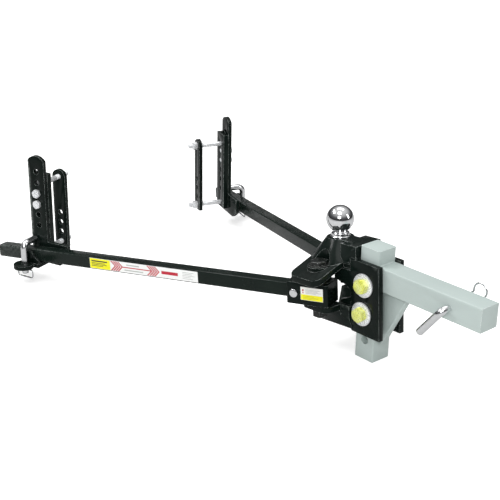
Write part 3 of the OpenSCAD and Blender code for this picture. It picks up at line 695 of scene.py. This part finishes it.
ARM_FACE, WEB_Y, WEB_T, LINK_Y, LINK_T = 17.0, 40.5, 5.0, 100.0, 9.5
SMALL_R, SMALL_AF, SMALL_FACE_R, SMALL_HEAD, SMALL_ROOT = 6.3, 19.0, 9.1, 8.0, 0.8
JAM_T, LONG_END = 11.0, 133.5
FIX_Z, RAIL_Z = (147.8, 120.8), (168.0, -1.0)
L_R, L_BEND, L_Z, L_TIP, L_END = 8.0, 14.0, 32.0, -44.0, -15.0
BAIL_R, BAIL_HALF, BAIL_DROP, BAIL_BEND = 2.0, 22.0, 20.0, 6.0
for side in SIDES:
    m = bracket_frame(side)
    x, y, z = (m.to_3x3().col[i].normalized() for i in range(3))

    def along_y(px, py, pz):
        """A frame at that point of the bracket whose Z runs outward."""
        return basis(m @ Vector((px, py, pz)), x, -z, y)
    bolts, nuts, longs, jams = bmesh.new(), bmesh.new(), bmesh.new(), bmesh.new()
    seat = -WEB_Y + WEB_T           # inner face of the jacket's web
    for pz, turn in zip(FIX_Z, (0.2, 0.62)):
        f = along_y(0, 0, pz)
        under = -ARM_FACE + UNDERCUT
        turned(bolts, f, [(-WEB_Y + 0.3, SMALL_R - 1.4), (-WEB_Y + 1.3, SMALL_R), (-ARM_FACE, SMALL_R),
                          (-ARM_FACE, SMALL_FACE_R), (under, SMALL_FACE_R)]
               + hex_rings(SMALL_AF, under, -ARM_FACE + SMALL_HEAD, False, True, turn), segs=48)
        nut(nuts, f, SMALL_AF, seat, seat + SMALL_HEAD, SMALL_R)
    for pz, turn in zip(RAIL_Z, (0.35, 0.9)):
        f = along_y(0, 0, pz)
        root = SMALL_R - SMALL_ROOT
        turned(longs, f, [(-LONG_END, root - 1), (-LONG_END + 1, root), (-LINK_Y + 12, root),
                          (-LINK_Y + 13.5, SMALL_R), (seat, SMALL_R), (seat, SMALL_FACE_R),
                          (seat + UNDERCUT, SMALL_FACE_R)]
               + hex_rings(SMALL_AF, seat + UNDERCUT, seat + SMALL_HEAD, False, True), segs=48)
        thread(longs, f, SMALL_R, 1.95, -LONG_END + 0.6, -LINK_Y + 13)
        nut(jams, f, SMALL_AF, -LINK_Y - LINK_T - JAM_T, -LINK_Y - LINK_T, SMALL_R, turn)
    body = side + "_bracket"
    for bm, part in ((bolts, "_bracket_bolts"), (nuts, "_bracket_nuts"), (longs, "_frame_bolts"),
                     (jams, "_frame_nuts")):
        place(finish_mesh(bm, side + part + "_v"), body, "bright_zinc", side + part)

    bend = arc((LPIN_X, LPIN_Y - L_BEND, L_Z - L_BEND), (0, 0, 1), (0, 1, 0), L_BEND, 0, 90, 18)
    line = [(LPIN_X, L_END, L_Z)] + bend + [(LPIN_X, LPIN_Y, L_TIP)]
    bm = bmesh.new()
    sweep(bm, m, densify(line, 2.5), L_R, 40, soft=0.25)
    place(finish_mesh(bm, side + "_l_pin_v"), side + "_l_pin", "pin_chrome", side + "_l_pin")
    low = BAIL_Z - BAIL_DROP
    loop = rounded_loop([(LPIN_X + sx * BAIL_HALF, LPIN_Y, pz)
                         for sx, pz in ((-1, BAIL_Z), (1, BAIL_Z), (1, low), (-1, low))], BAIL_BEND)
    bm = bmesh.new()
    sweep(bm, m, densify(loop + loop[:1], 2.0)[:-1], BAIL_R, 16, closed=True)
    place(finish_mesh(bm, side + "_l_pin_clip_v"), side + "_l_pin_clip", "pin_chrome", side + "_l_pin_clip")

# ---------------------------------------------------------------- weld beads

# in the head's frame: rear edge and outer face of the side plates, the block's step, and its platform's axis
SIDE_X0, SIDE_Y, STEP_Z, BALL_X, SPOT_Y, SPOT_GAP = -34.0, 38.2, 80.1, -97.5, 66.0, 27.0
RIDGE_Y, RIDGE_Z, WING_FALL = 12.0, 75.8, math.tan(math.radians(19))
WING_X0, BLOCK_X0, BLOCK_X1, BLOCK_Y, CONE_R, CONE_GROW = -141.5, -61.0, -18.2, 37.5, 29.0, 0.77
head_o = ball_at - HEAD_Z * BALL_Z * MM - HEAD_X * BALL_X * MM
hm = basis(head_o, HEAD_X, Y_AXIS, HEAD_Z)


def wing_top(y):
    return RIDGE_Z - WING_FALL * max(0.0, abs(y) - RIDGE_Y)


bm = bmesh.new()
for s in (-1, 1):
    # block on the side plates and the wing plate, side plates to both wing plates
    weld(bm, hm, (SIDE_X0 + 1, s * SIDE_Y, STEP_Z), (BLOCK_X1 - 1, s * SIDE_Y, STEP_Z), 3.0, (0, s, 0.5))
    weld(bm, hm, (BLOCK_X1, s * (BLOCK_Y - 1), STEP_Z), (BLOCK_X1, s * 26, STEP_Z), 2.6, (1, 0, 0.6))
    weld(bm, hm, (BLOCK_X0, s * (BLOCK_Y - 1), wing_top(BLOCK_Y - 1)),
         (SIDE_X0 - 1, s * BLOCK_Y, wing_top(BLOCK_Y)), 3.2, (0, s, 0.7))
    weld(bm, hm, (SIDE_X0 - 0.2, s * SIDE_Y, 55), (SIDE_X0 - 0.2, s * SIDE_Y, 79), 2.6, (-0.5, s, 0))
    weld(bm, hm, (SIDE_X0, s * SIDE_Y, -76), (SIDE_X0, s * SIDE_Y, -66), 3.2, (-0.6, s, 0))
# round the foot of the pedestal, broken at the block, the wing's rear edge and the pivots' spot faces
foot = []
for i in range(49):
    t = math.radians(62 + 236 * i / 48)
    rr = CONE_R
    for _ in range(6):
        rr = CONE_R + CONE_GROW * (PLATFORM - wing_top(rr * math.sin(t)))
    x = max(BALL_X + rr * math.cos(t), WING_X0 + 1.5)
    foot.append((x, rr * math.sin(t), wing_top(rr * math.sin(t))))
for p, q in zip(foot, foot[1:]):
    if p[0] <= WING_X0 + 1.6 or math.hypot(p[0] - BALL_X, abs(p[1]) - SPOT_Y) < SPOT_GAP:
        continue
    out = Vector(((p[0] + q[0]) / 2 - BALL_X, (p[1] + q[1]) / 2, 0)).normalized() + Vector((0, 0, 0.7))
    weld(bm, hm, p, q, 2.8, out, 1.3)
place(finish_mesh(bm, "head_welds", 60, False), "head", "black_paint")

bar_lo, bar_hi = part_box("shank_bar")
gus_lo, gus_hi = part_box("shank_gusset")
bm = bmesh.new()
fx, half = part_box("shank_column")[1].x / MM, bar_hi.y / MM
top, under = bar_hi.z / MM, bar_lo.z / MM
weld(bm, ROW, (fx, -half + 3, top), (fx, half - 3, top), 4.2, (1, 0, 1))
for s in (-1, 1):
    weld(bm, ROW, (fx, s * half, under + 3), (fx, s * half, top - 3), 3.6, (0.7, s, 0))
    gy = s * gus_hi.y / MM
    weld(bm, ROW, (fx, gy, gus_lo.z / MM + 4), (fx, gy, under - 3), 3.6, (1, s, 0))
    weld(bm, ROW, (fx + 4, gy, under), (gus_hi.x / MM - 3, gy, under), 3.6, (0, s, -1))
place(finish_mesh(bm, "shank_welds", 60, False), "head", "shank_paint")

for side in SIDES:
    m = bracket_frame(side)
    bm = bmesh.new()
    weld(bm, m, (23.5, -17.2, -26), (23.5, -26, -26), 2.6, (1, 0, 0.2))
    place(finish_mesh(bm, side + "_bracket_welds", 60, False), side + "_bracket", "black_paint")

# ---------------------------------------------------------------- printing on the labels


ARM_W0, ARM_W1, TAPER_X, ARM_L = 31.4, 30.0, 70.0, 864.0
TAG_REAR, TAG_H, PLATE_REAR, PLATE_LOW, LABEL_T = 585.0, 25.0, 30.0, -12.5, 0.4
SHRINK = (ARM_W0 - ARM_W1) / 2 / (ARM_L - TAPER_X)
LIFT, LIFT_OVER = 0.05, 0.09        # ink above the label, and ink over other ink
CHEVRON_A, CHEVRON_B, CHEVRON_PITCH, CHEVRON_W, CHEVRON_LEAN = 59.0, 160.0, 6.4, 4.0, 12.0


def on_tag(m, a, b, lift):
    """A point of the arm's label, a forward from its rear end and b up from its lower edge."""
    t = TAG_REAR - a
    return m @ Vector((t, ARM_W0 / 2 - SHRINK * (t - TAPER_X) + 0.02 + LABEL_T + lift, b - TAG_H / 2))


def on_plate(m, a, b, lift):
    """The same on the socket's label."""
    return m @ Vector((PLATE_REAR - a, SOCKET_HALF + LABEL_T + lift, b + PLATE_LOW))


def strip(a0, a1, b0, b1):
    return [(a0, b0), (a1, b0), (a1, b1), (a0, b1)]


def chevron(a0, w, b0, b1, lean):
    mid = (b0 + b1) / 2
    return [[(a0, b0), (a0 + w, b0), (a0 + w + lean, mid), (a0 + lean, mid)],
            [(a0 + lean, mid), (a0 + w + lean, mid), (a0 + w, b1), (a0, b1)]]


def lines(a0, height, *widths_at):
    """Plain strips from a0 in place of lines of print, each a (width, lower edge)."""
    return [strip(a0, a0 + w, b, b + height) for w, b in widths_at]


arrows = [p for a0 in (CHEVRON_A, CHEVRON_B) for i in range(4)
          for p in chevron(a0 + i * CHEVRON_PITCH, CHEVRON_W, 1.0, TAG_H - 1.0, CHEVRON_LEAN)]
arrows += [strip(CHEVRON_A + 3 * CHEVRON_PITCH + CHEVRON_LEAN + 2.4, CHEVRON_B + CHEVRON_LEAN + 0.6,
                 TAG_H / 2 - 1.2, TAG_H / 2 + 1.2)]
PRINT = (
    # name, ink, surface, lift, shapes
    ("_tag_yellow", "yellow", on_tag, LIFT, [strip(0.5, 58, 0.6, TAG_H - 0.6)]),
    ("_tag_lines", "black", on_tag, LIFT_OVER,
     lines(5, 3.0, (45, 17.0)) + lines(5, 1.4, (39, 13.0), (43, 9.6), (33, 6.2))),
    ("_tag_arrows", "red", on_tag, LIFT, arrows),
    ("_tag_mark", "red", on_tag, LIFT, [strip(200, 244, 8.8, 16.2)]),
    ("_tag_small", "grey", on_tag, LIFT,
     lines(256, 1.2, (30, 19), (25, 15.4), (32, 11.8), (22, 8.2), (27, 4.6))
     + [strip(104, 139, 17.2, 20.0), strip(98, 150, 4.6, 7.2)]),
    ("_plate_yellow", "yellow", on_plate, LIFT, [strip(0.6, 50.4, 0.6, 12.2)]),
    ("_plate_marks", "olive", on_plate, LIFT_OVER,
     lines(5, 0.8, (25, 8.4), (35, 5.4)) + lines(5, 0.7, (29, 2.6))),
    ("_plate_red", "red", on_plate, LIFT, [strip(4, 7, 19, 23.5), strip(4, 7, 14.5, 17)]),
    ("_plate_small", "grey", on_plate, LIFT, lines(11, 1.0, (34, 22.5), (28, 20), (36, 17.5), (24, 15))),
)
for side in SIDES:
    m = socket_frame(side)
    for name, ink, surface, lift, shapes in PRINT:
        bm = bmesh.new()
        for pts in shapes:
            bm.faces.new([bm.verts.new(surface(m, a, b, lift)) for a, b in pts])
        ob = finish_mesh(bm, side + name, recalc=False)
        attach(ob, side + "_arm")
        ob.data.materials.append(INK[ink])

# ---------------------------------------------------------------- floor, light and camera

FLOOR_HALF, FLOOR_GAP = 40, 0.0005
floor_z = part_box("shank_column")[0].z - FLOOR_GAP
bm = bmesh.new()
corners = ((-1, -1), (1, -1), (1, 1), (-1, 1))
bm.faces.new([bm.verts.new((sx * FLOOR_HALF, sy * FLOOR_HALF, floor_z)) for sx, sy in corners])
floor = finish_mesh(bm, "floor", recalc=False)
k = Tree("floor_pale")
# seen directly the floor glows a little, so that shadows stay faint; in reflections it is darker
path = k.node("ShaderNodeLightPath")
pale = k.mix(k.remap(k.noise(3.0, 4.0), 0.3, 0.7, 0.0, 1.0), (0.80, 0.80, 0.795), (0.815, 0.815, 0.81))
k.link(k.mix(path.outputs["Is Glossy Ray"], pale, (0.52, 0.52, 0.52)), k.b.inputs["Base Color"])
k.link(k.remap(k.noise(8.0, 3.0), 0.3, 0.7, 0.85, 0.95), k.b.inputs["Roughness"])
k.b.inputs["Emission Color"].default_value = (1, 1, 1, 1)
k.link(k.math("MULTIPLY", path.outputs["Is Camera Ray"], 0.56), k.b.inputs["Emission Strength"])
k.link(k.bump(k.noise(400.0, 2.0), 0.02, 0.0002), k.b.inputs["Normal"])
floor.data.materials.append(k.mat)

world = bpy.data.worlds.new("studio")
bpy.context.scene.world = world
world.use_nodes = True
wt = world.node_tree
wt.nodes.clear()
wo, wb = wt.nodes.new("ShaderNodeOutputWorld"), wt.nodes.new("ShaderNodeBackground")
tc, sep = wt.nodes.new("ShaderNodeTexCoord"), wt.nodes.new("ShaderNodeSeparateXYZ")
ramp = wt.nodes.new("ShaderNodeValToRGB")
wt.links.new(tc.outputs["Generated"], sep.inputs[0])
wt.links.new(sep.outputs[2], ramp.inputs[0])
wt.links.new(ramp.outputs[0], wb.inputs[0])
wt.links.new(wb.outputs[0], wo.inputs[0])
low, high = ramp.color_ramp.elements
low.position, low.color = 0.0, (0.02, 0.02, 0.02, 1)
high.position, high.color = 0.9, (0.75, 0.75, 0.75, 1)
ramp.color_ramp.elements.new(0.35).color = (0.10, 0.10, 0.105, 1)
wb.inputs[1].default_value = 1.0


AIM = Vector((-0.45, 0, -0.05))
LAMPS = (
    # name, place, width, height, watts
    ("key", (1.3, -2.2, 1.5), 1.1, 0.9, 38),
    ("edge", (-2.0, -1.2, 2.2), 1.6, 0.5, 34),
    ("top", (-0.9, 0.6, 2.8), 2.0, 0.9, 24),
    ("side", (1.9, 1.3, 1.2), 0.5, 1.4, 12),
)
for name, at, width, height, watts in LAMPS:
    lamp = bpy.data.lights.new(name, "AREA")
    lamp.shape = "RECTANGLE"
    lamp.size, lamp.size_y, lamp.energy = width, height, watts
    ob = bpy.data.objects.new(name, lamp)
    bpy.context.scene.collection.objects.link(ob)
    ob.location = at
    ob.rotation_euler = (AIM - Vector(at)).to_track_quat("-Z", "Y").to_euler()
sun = bpy.data.lights.new("sun", "SUN")
sun.energy, sun.angle = 0.6, math.radians(30)
sun_ob = bpy.data.objects.new("sun", sun)
bpy.context.scene.collection.objects.link(sun_ob)
sun_ob.rotation_euler = (math.radians(22), math.radians(14), 0)

YAW, PITCH, ROLL = math.radians(138.6), math.radians(21.72), math.radians(1.04)
CAMERA_AT, LENS, SENSOR, FAR = (1.08239, -1.48338, 0.81916), 74.14, 36.0, 100
f = Vector((math.cos(PITCH) * math.cos(YAW), math.cos(PITCH) * math.sin(YAW), -math.sin(PITCH)))
r0 = f.cross(Vector((0, 0, 1))).normalized()
u0 = r0.cross(f)
r = r0 * math.cos(ROLL) + u0 * math.sin(ROLL)
u = u0 * math.cos(ROLL) - r0 * math.sin(ROLL)
cam_data = bpy.data.cameras.new("cam")
cam_data.lens, cam_data.sensor_width, cam_data.clip_end = LENS, SENSOR, FAR
cam = bpy.data.objects.new("cam", cam_data)
bpy.context.scene.collection.objects.link(cam)
rot = Matrix((r, u, -f)).transposed().to_4x4()
cam.matrix_world = Matrix.Translation(CAMERA_AT) @ rot
bpy.context.scene.camera = cam
bpy.context.scene.view_settings.view_transform = "Standard"
